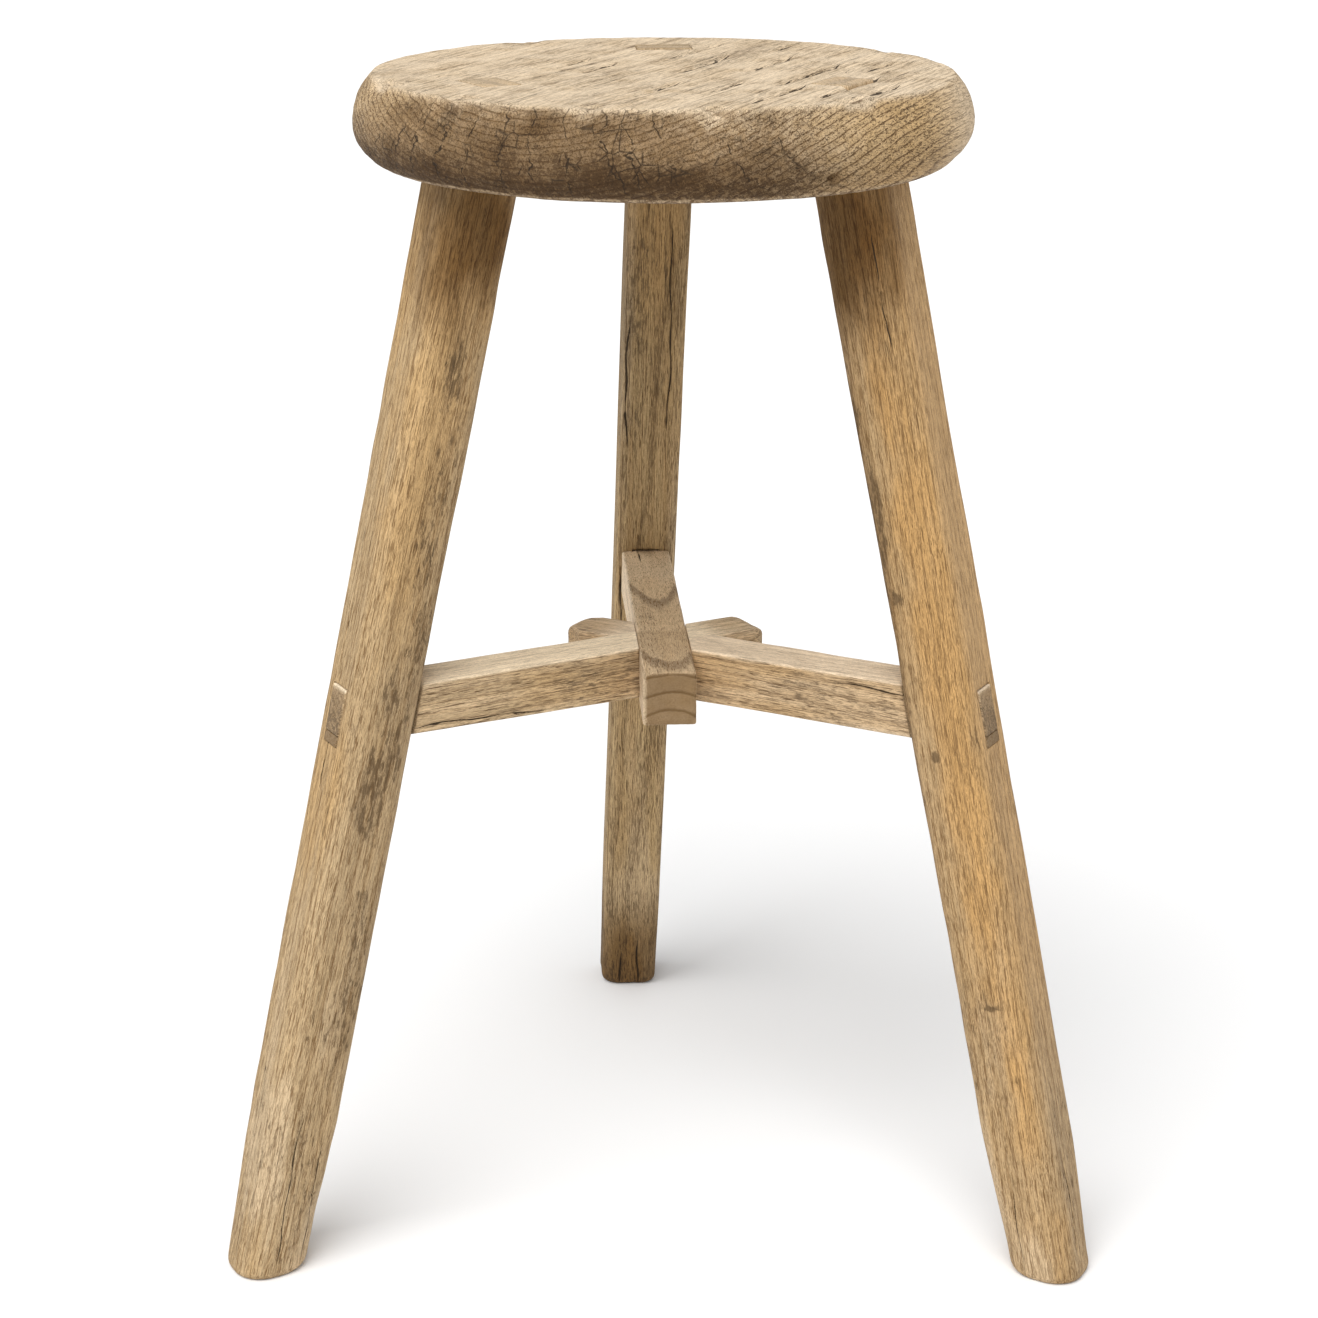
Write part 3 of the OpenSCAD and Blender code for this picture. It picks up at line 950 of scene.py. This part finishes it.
def wood_material(name, piece, look, halves, own_frame):
    """Dry, worn wood: growth rings, fine grain lines, pores, checks, stains, bleached wear, painted
    light and painted shade.
    """
    w = Wood(name, look, own_frame)
    end_grain = w.step(w.math("ABSOLUTE", w.facing[2]), 0.45, 0.90)
    grime, bare, warm, shade = (w.attribute(mark) for mark in MARKS)
    growth, year_shade, early, unbroken = growth_rings(w, look)

    fine_marks = pores_and_lines(w, look, early)
    early = w.multiply(early, unbroken)
    streak = w.grain(0.30, 0.006, 3.0, 0.6)
    fibre = w.grain(2.6, 0.05, 3.0, 0.68)
    speckle = w.grain(1.9, 0.8, 4.0, 0.75)
    blotch = w.grain(0.035, 0.010, 3.0, 0.6)
    mottle = w.grain(0.55, 0.15, 5.0, 0.74)
    cracks = open_cracks(w, look, piece, halves)
    if look["crackle"]:
        across = w.multiply(end_checks(w, look, growth), end_grain, look["crackle"])
        cracks = w.most(cracks, across)

    # Wood colours, then fine marks, dirt, painted shade and cracks over them
    colour = w.mix(w.step(streak, 0.32, 0.70), look["light"], look["mid"])
    colour = w.mix(w.multiply(w.step(blotch, 0.38, 0.66), 0.5), colour, look["mid"])
    colour = w.mix(w.multiply(warm, 0.85), colour, look["warm"])
    plain = w.less(1.0, w.multiply(bare, look["bare_hides"]))
    colour = w.mix(w.multiply(early, plain, look["ring_show"]), colour, look["early"])
    tone = w.multiply(w.add(year_shade, 0.10, 0.95), w.add(fibre, 0.90, 0.59),
                      w.add(speckle, 1.00, 0.50))
    # The bare colour is worn wood, and on the stretchers' tops and the right leg's outer face it is
    # also painted light
    colour = w.mix(w.multiply(bare, look["bare_show"]), colour, look["bare"])
    grey = w.node("ShaderNodeCombineColor", {0: tone, 1: tone, 2: tone}).outputs[0]
    colour = w.mix(1.0, colour, grey, "MULTIPLY")
    cut_across = w.less(end_grain, w.multiply(bare, 0.9), clamp=True)
    colour = w.mix(w.multiply(cut_across, look["end_show"]), colour, look["end"])
    faint = w.less(1.0, w.multiply(bare, look["bare_hides"] * 0.55))
    marks = w.multiply(fine_marks, faint)
    colour = w.mix(marks, colour, look["pore"])
    soiled = w.step(w.math("ADD", grime, w.add(mottle, 2.9, -1.45)), 0.26, 0.80)
    soiled = w.multiply(soiled, w.step(grime, 0.03, 0.30), look["grime_show"])
    dusty = w.multiply(w.step(grime, 0.0, 0.9), 0.30)
    colour = w.mix(w.most(soiled, dusty), colour, look["grime"])
    # Painted shade: the shade mark darkens the colour towards the look's shade colour
    colour = w.mix(w.multiply(shade, 0.92), colour, w.mix(1.0, colour, look["shade"], "MULTIPLY"))
    colour = w.mix(w.multiply(cracks, 0.93), colour, look["crack"])

    height = w.multiply(marks, -0.18)
    for raised, by in ((cracks, -0.75), (early, -0.09), (fibre, 0.13), (mottle, look["lumps"]),
                       (speckle, 0.07)):
        height = w.add(raised, by, height)
    bump = w.node("ShaderNodeBump", {"Strength": 0.8, "Distance": 1.0 * MM, "Height": height})
    rough = w.add(marks, 0.12, w.add(streak, 0.14, look["rough"]))
    rough = w.add(bare, -0.08, rough, clamp=True)
    shader = w.node("ShaderNodeBsdfPrincipled", {
        "Base Color": colour, "Roughness": rough, "Normal": bump.outputs["Normal"],
        "Specular IOR Level": 0.2})
    w.node("ShaderNodeOutputMaterial", {"Surface": shader.outputs[0]})
    return w.material


# The marks each piece carries on its mesh, and the look of each piece's wood
# Of these marks, shade is painted shade, and bare is worn wood as well as painted light
MARKS = ("grime", "bare", "warm", "shade")
# Each look's shade colour is the colour of the painted shade
BASE = {
    "seed": 1.0, "pith": (60.0, 40.0, 0.0), "run_out": (0.02, -0.015, 0.0), "ring": 2.8,
    "phase": 0.0, "wave": 1.6, "pore_run": 0.13, "pore_limit": 0.635, "check_limit": 0.60,
    "light": (0.60, 0.42, 0.225), "mid": (0.50, 0.335, 0.165), "early": (0.38, 0.235, 0.105),
    "warm": (0.56, 0.335, 0.125), "bare": (0.68, 0.51, 0.31), "grime": (0.155, 0.105, 0.06),
    "shade": (0.30, 0.22, 0.11), "end": (0.30, 0.21, 0.12), "pore": (0.17, 0.09, 0.032),
    "crack": (0.035, 0.022, 0.012), "ring_show": 0.22, "bare_show": 0.5, "bare_hides": 0.5,
    "grime_show": 0.8, "end_show": 0.5, "pore_show": 0.85, "line_show": 0.8, "rough": 0.66,
    "line_scale": 0.75, "line_wide": 0.03, "ring_wide": 0.46, "ring_gaps": 0.0, "lumps": 0.16,
    "crackle": 0.0,
}


SIDE_BAR = {"ring": 3.0, "line_show": 1.0, "line_scale": 1.1, "line_wide": 0.055,
            "pore_show": 0.35, "lumps": 0.07, "pore": (0.11, 0.062, 0.028),
            "end": (0.26, 0.165, 0.08)}


def varied(**changes):
    return {**BASE, **changes}


LOOKS = {
    "leg_left": varied(
        seed=2.0, pith=(-45.0, 70.0, 0.0), run_out=(0.012, 0.014, 0.0),
        light=(0.53, 0.385, 0.22), mid=(0.43, 0.30, 0.16), bare=(0.84, 0.68, 0.48),
        grime=(0.11, 0.066, 0.03)),
    "leg_right": varied(
        seed=3.0, pith=(-60.0, -50.0, 0.0), light=(0.48, 0.33, 0.175), mid=(0.40, 0.265, 0.13),
        warm=(0.52, 0.30, 0.11), bare=(0.84, 0.68, 0.48), grime=(0.11, 0.066, 0.03)),
    "leg_back": varied(
        seed=4.0, pith=(-70.0, 20.0, 0.0), light=(0.45, 0.315, 0.155), mid=(0.385, 0.255, 0.12),
        early=(0.26, 0.16, 0.07), bare=(0.80, 0.64, 0.44), bare_show=0.55, line_show=0.95,
        line_scale=0.85, pore=(0.10, 0.058, 0.025), grime=(0.12, 0.078, 0.04)),
    # The stretchers' bare colours are light also as painted light on their tops, the left one most
    "stretcher_left": varied(
        **SIDE_BAR, seed=5.0, pith=(-38.0, 30.0, 0.0), light=(0.62, 0.45, 0.27),
        mid=(0.53, 0.38, 0.215), bare=(0.92, 0.76, 0.54), bare_show=0.92, bare_hides=0.85),
    "stretcher_right": varied(
        **SIDE_BAR, seed=6.0, pith=(-30.0, -42.0, 0.0), light=(0.63, 0.455, 0.275),
        mid=(0.54, 0.375, 0.21), bare=(0.84, 0.68, 0.49), bare_show=0.88, bare_hides=0.8),
    "stretcher_back": varied(
        seed=7.0, pith=(-14.0, 0.0, 40.0), run_out=(0.0, 0.093, 0.0), ring=7.9, phase=0.55,
        wave=0.5, light=(0.64, 0.475, 0.29), mid=(0.55, 0.395, 0.23), early=(0.19, 0.115, 0.05),
        ring_show=0.85, ring_wide=0.24, bare=(0.78, 0.62, 0.43), bare_show=0.85, line_show=0.5,
        end_show=0.7, end=(0.22, 0.135, 0.06)),
    "seat": varied(
        seed=8.0, pith=(PITH_SIDE, -PITH_UP, 0.0), run_out=(0.0, 0.0, 0.0), ring=RING, wave=2.2,
        light=(0.68, 0.53, 0.355), mid=(0.53, 0.385, 0.225), early=(0.17, 0.095, 0.04),
        bare=(0.76, 0.615, 0.44), bare_hides=0.86, bare_show=0.75, warm=(0.53, 0.34, 0.145),
        grime=(0.12, 0.070, 0.034), end=(0.27, 0.16, 0.068), end_show=0.72,
        pore=(0.09, 0.05, 0.022), check_limit=0.49, ring_show=0.9, line_show=0.95,
        line_scale=0.6, line_wide=0.055, ring_wide=0.34, ring_gaps=0.40, crackle=1.0, rough=0.72),
    "wedge": varied(
        seed=9.0, pith=(30.0, 30.0, 0.0), light=(0.36, 0.26, 0.15), mid=(0.30, 0.21, 0.115),
        end=(0.22, 0.14, 0.07), bare=(0.80, 0.64, 0.45)),
}


# ---------------------------------------------------------------- stains, wear, painted shade and painted light

TOP_WEAR = 6    # depth of the bare wood at the top of a leg, in mm


def spot(points, centre, size, seed, ragged=0.8):
    """A ragged stain: 1 at its middle and 0 outside, in a piece's own millimetres."""
    d = (points - np.array(centre)) / np.array(size)
    x, y, z = points.T
    edge = ragged * rough_noise(x / 9, y / 9, z / 24, seed)
    return smooth(1.25, 0.25, np.linalg.norm(d, axis=1) + 0.5 * edge)


# Stains: strength, middle, reach, seed, and raggedness where it isn't 0.8
STAINS = {
    "leg_left": [(0.60, (1, -16, 395), (7, 14, 26), 61, 1.2),
                 (0.46, (6, -16, 335), (7, 14, 44), 62, 1.6),
                 (0.48, (8, -16, 275), (9, 14, 50), 63, 1.6),
                 (0.60, (1, -16, 222), (10, 14, 46), 64, 1.5),
                 (0.46, (5, -16, 150), (9, 14, 62), 57, 1.6),
                 (0.30, (0, -16, 50), (14, 16, 60), 59, 1.4),
                 (0.95, (-9, -16, 112), (2.4, 3, 2.4), 48, 0.4)],
    "leg_right": [(0.66, (15, 14, 382), (6, 10, 30), 66, 1.5),
                  (0.66, (15, 14, 322), (7, 10, 36), 56, 1.5),
                  (0.60, (16, 13, 212), (4, 9, 44), 67, 1.5),
                  (0.60, (16, 12, 122), (4, 9, 44), 58, 1.5),
                  (1.0, (-1.8, 16, 126), (5, 3, 1.6), 55, 0.2),
                  (1.0, (3.6, 16, 237), (2.6, 3, 3.4), 54, 0.2),
                  (0.95, (8.5, 16, 305), (3.4, 3, 5), 53, 0.5)],
    "leg_back": [(0.45, (14, 0, 12), (16, 16, 20), 71),
                 (0.46, (14, -8, 400), (10, 10, 60), 69, 1.4)],
    "stretcher_left": [(0.8, (-11, -10, 106), (4, 9, 24), 72),
                       (0.42, (0, -11, 45), (10, 9, 34), 73, 1.4)],
    "stretcher_right": [(0.40, (0, 11, 85), (10, 9, 30), 74, 1.4)],
    "stretcher_back": [],
}


def stained(grime, piece, points):
    for strength, *where in STAINS[piece]:
        grime = np.maximum(grime, strength * spot(points, *where))
    return grime


def leg_marks(side, points, half):
    x, y, z = points.T
    worn = smooth(half * 1.12, half * 1.30, np.hypot(x, y))
    patches = smooth(-0.15, 0.5, rough_noise(x / 12, y / 12, z / 60, 41 + SIDES.index(side)))
    bare = worn * (0.15 + 0.35 * patches)
    bare = np.maximum(bare, 0.52 * smooth(210, 20, z) * patches)
    grime = 0.26 * smooth(0.30, 0.9, rough_noise(x / 16, y / 16, z / 60, 81))
    grime = stained(grime, "leg_%s" % side, points)
    warm = 0.5 * smooth(0.0, 0.8, rough_noise(x / 20, y / 20, z / 110, 51))
    if side == "left":
        warm = np.maximum(warm, 0.55 * spot(points, (-6, -16, 380), (18, 20, 130), 47, 0.6))
        # Painted shadow under the seat at the top of the leg, and painted shade on its inner face
        shade = np.maximum(spot(points, (0, -16, 455), (26, 34, 44), 60, 0.5),
                           0.14 * smooth(-2, 9, x) * smooth(60, 220, z))
    elif side == "right":
        warm = np.maximum(warm, spot(points, (-8, 16, 270), (14, 18, 260), 68, 0.7))
        # Painted light: the outer face, towards -x, is warmer and lighter from above the foot up
        warm = np.maximum(warm, 0.9 * smooth(-half * 0.80, -half * 0.95, x) * smooth(60, 160, z))
        # Painted shadow under the seat at the top of the leg, and painted shade on its inner face
        shade = np.maximum(spot(points, (4, 16, 452), (26, 30, 58), 65, 0.5),
                           0.30 * smooth(6, 16, x) * smooth(150, 260, z))
        # Painted light: a lighter strip on the outer face
        bare = np.maximum(bare, 0.25 * smooth(-half * 0.86, -half * 0.98, x))
    else:
        # Painted shadow under the seat at the top of the leg; the leg is also darker towards its
        # foot
        shade = np.maximum(0.30 * smooth(330, 455, z), 0.9 * smooth(76, 30, z))
    return grime, np.where(z > z.max() - TOP_WEAR, 1.0, bare), warm, shade


def bar_marks(side, points, half):
    x, y, z = points.T
    # The top face takes the bare colour as worn wood and as painted light from above, less near the
    # lap
    top = smooth(half * 0.84, half * 0.97, x)
    edge = smooth(half * 1.15, half * 1.42, np.hypot(x, y))
    patches = smooth(-0.3, 0.4, rough_noise(x / 9, y / 9, z / 40, 42))
    past_lap = 0.25 + 0.75 * smooth(-34, -14, z)
    bare = np.maximum(top * (past_lap if side != "back" else 0.3), edge * patches * 0.8)
    grime = 0.16 * smooth(0.2, 0.8, rough_noise(x / 8, y / 8, z / 40, 82))
    grime = np.maximum(grime, 0.55 * smooth(z.max() - 5, z.max() - 1, z))
    grime = stained(grime, "stretcher_%s" % side, points)
    warm = 0.4 * smooth(0.1, 0.9, rough_noise(x / 20, y / 20, z / 60, 52))
    # Painted shade on the lower part of the stretcher next to the crossing
    shade = 0.5 * smooth(22, 12, np.abs(z)) * smooth(half * 0.9, 0.3 * half, x)
    if side == "back":
        bare = np.maximum(bare, smooth(-9.5, -10.8, y) * 0.9)
        # Painted shade below the top, from the crossing out over the stub
        shade = 0.25 * smooth(8, 4, z) * (x < half)
    return grime, bare, warm, shade


def seat_marks(points, thick, r):
    x, y, z = points.T
    across, _, along = seat_frame()
    plan = x[:, None] * across[:2] + z[:, None] * along[:2]
    bearing = bearing_of(plan)
    reach = np.hypot(x, z)
    edge = r * TOP_FLAT
    rim = smooth(edge - 1.0, edge + 1.5, reach)
    level = 0.5 - y / thick
    ragged = rough_noise(x / 12, y / 8, z / 12, 43)
    front = smooth(205, 232, bearing) * smooth(312, 285, bearing)
    right = facing_right(bearing, 283, 318)
    left = smooth(235, 212, bearing) * smooth(120, 160, bearing)

    low_down = smooth(0.66, 0.18, level + 0.12 * ragged)
    middle = 0.7 * np.exp(-(((bearing - 252) / 14) ** 2))
    dark = 0.26 * front + 0.20 * left + 0.08 * right + 0.16 * middle
    grime = rim * np.clip(dark + low_down * (0.12 + 0.30 * (front + left)), 0, 1)
    grime = np.maximum(grime, 0.8 * smooth(0.10, 0.0, level))
    grime = np.maximum(grime, 0.12 * smooth(0.45, 1.0, rough_noise(x / 20, 1.5, z / 50, 45)))
    below_lip = smooth(1.0, 0.93, level)
    clouds = rough_noise(x / 16, y / 12, z / 16, 46)
    # Painted shade on the rim below the top's edge, most at the front and left, and over the lower
    # rim
    shade = 0.36 * front + 0.17 * left + 0.14 * middle + 0.45 * clouds * (front + left + 0.4 * right)
    shade = rim * np.clip(shade, 0, 1) * below_lip
    shade = np.maximum(shade, rim * (0.30 + 0.55 * np.clip(front + left, 0, 1)) * low_down)
    for where, height, _, wide, tall in CHIPS:
        near = (arc_between(bearing, where, r) / wide) ** 2
        near = near + ((level - height) * thick / tall) ** 2
        grime = np.maximum(grime, 0.8 * np.exp(-near) * (reach > edge - 5) * (wide < 12))
    lip = np.exp(-((reach - edge + 0.6) / 1.9) ** 2) * (level > 0.5)
    flat_top = (1 - rim) * (level > 0.5)
    bare = np.maximum(flat_top * (0.78 + 0.45 * ragged), lip * (0.70 + 0.3 * ragged))
    bare = np.maximum(bare, 0.8 * rim * facing_right(bearing, 320, 345))
    grime = grime * (1 - 0.7 * np.clip(lip, 0, 1))
    shade = shade * (1 - 0.8 * np.clip(lip, 0, 1))
    warm = rim * np.clip(0.85 * right + 0.4 * left * smooth(0.4, 0.8, level), 0, 1)
    return grime, bare, warm, shade


# ---------------------------------------------------------------- putting it together

def finish_piece(obj, node, piece, marks, halves):
    """Dresses a piece, and sets its mesh down in the stool's frame."""
    own_frame = obj.matrix_world.copy()
    obj.data.transform(own_frame)
    obj.matrix_world = Matrix()
    for name, values in zip(MARKS, marks):
        write_value(obj, name, values)
    obj.data.materials.clear()
    obj.data.materials.append(wood_material(obj.name, piece, LOOKS[piece], halves, own_frame))
    obj.data.polygons.foreach_set("use_smooth", np.ones(len(obj.data.polygons), dtype=bool))
    obj.data.update()
    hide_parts(node)
    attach(obj, "root")


seat = build_seat()
seat_thick, seat_r = SEAT_THICK / MM, SEAT_R / MM
finish_piece(seat, "seat", "seat",
             seat_marks(read_points(seat) / MM, seat_thick, seat_r), (seat_r, seat_thick / 2))

for number, side in enumerate(SIDES):
    leg = build_leg(side, 100 + 10 * number)
    half = leg_sizes(side)[0]
    finish_piece(leg, "leg_%s" % side, "leg_%s" % side,
                 leg_marks(side, read_points(leg) / MM, half), (half, half))

    bar = build_bar(side, 200 + 10 * number)
    bar_half = BAR_H / MM / 2
    finish_piece(bar, "stretcher_%s" % side, "stretcher_%s" % side,
                 bar_marks(side, read_points(bar) / MM, bar_half), (bar_half, bar_half - 1))

    in_seat, in_leg = "seat_wedge_%s" % side, "stretcher_wedge_%s" % side
    for wedge, node, worn in ((build_seat_wedge(side, in_seat, 300 + number), in_seat, 1.0),
                              (build_bar_wedge(side, in_leg, 310 + number), in_leg, 0.0)):
        none = np.zeros(len(wedge.data.vertices))
        finish_piece(wedge, node, "wedge", (none + 0.2, none + worn, none, none),
                     (half, half))


# ---------------------------------------------------------------- stage, light and camera

FLOOR_SIZE = 40.0
FLOOR_GREY = 0.93
WORLD_WHITE = 0.55                               # strength of the plain white world
KEY_STRENGTH, KEY_SPREAD = 2.7, 50.0
KEY_TOWARDS = (-0.30, -0.62, 1.0)
# The camera's place from the stool's axis, in metres, its pitch in radians, and its lens
CAMERA_SIDE, CAMERA_FRONT, CAMERA_UP = -0.0076, 1.147, 0.6388
CAMERA_PITCH = 0.3335
CAMERA_SHIFT = (0.0106, 0.0054)
LENS, SENSOR = 75.45, 36.0


def flat_sheet(name, size):
    s = size / 2
    verts = np.array([[-s, -s, 0], [s, -s, 0], [s, s, 0], [-s, s, 0]])
    return make_object(name, verts, [np.array([[0, 1, 2, 3]])])


def plain_material(name, colour, rough):
    material = bpy.data.materials.new(name)
    material.use_nodes = True
    shader = material.node_tree.nodes["Principled BSDF"]
    shader.inputs["Base Color"].default_value = (*colour, 1.0)
    shader.inputs["Roughness"].default_value = rough
    return material


def sun_light(name, strength, spread, towards):
    """A soft light from far away, in the direction given."""
    data = bpy.data.lights.new(name, "SUN")
    data.energy = strength
    data.angle = math.radians(spread)
    light = bpy.data.objects.new(name, data)
    light.rotation_euler = Vector(towards).to_track_quat("Z", "Y").to_euler()
    light.location = Vector(towards) * 2
    bpy.context.scene.collection.objects.link(light)


floor = flat_sheet("floor", FLOOR_SIZE)
floor.data.materials.append(plain_material("floor_paint", (FLOOR_GREY,) * 3, 0.8))

world = bpy.data.worlds.new("studio")
world.use_nodes = True
background = world.node_tree.nodes["Background"]
background.inputs["Color"].default_value = (1.0, 1.0, 1.0, 1.0)
background.inputs["Strength"].default_value = WORLD_WHITE
bpy.context.scene.world = world

sun_light("key_above", KEY_STRENGTH, KEY_SPREAD, KEY_TOWARDS)

camera_data = bpy.data.cameras.new("camera")
camera_data.lens = LENS
camera_data.sensor_width = SENSOR
camera_data.shift_x, camera_data.shift_y = CAMERA_SHIFT
camera_data.clip_end = 100.0
camera = bpy.data.objects.new("camera", camera_data)
camera.location = (AXIS_XY[0] + CAMERA_SIDE, AXIS_XY[1] - CAMERA_FRONT, CAMERA_UP)
camera.rotation_euler = (math.pi / 2 - CAMERA_PITCH, 0.0, 0.0)
bpy.context.scene.collection.objects.link(camera)
bpy.context.scene.camera = camera
bpy.context.scene.view_settings.view_transform = "Standard"
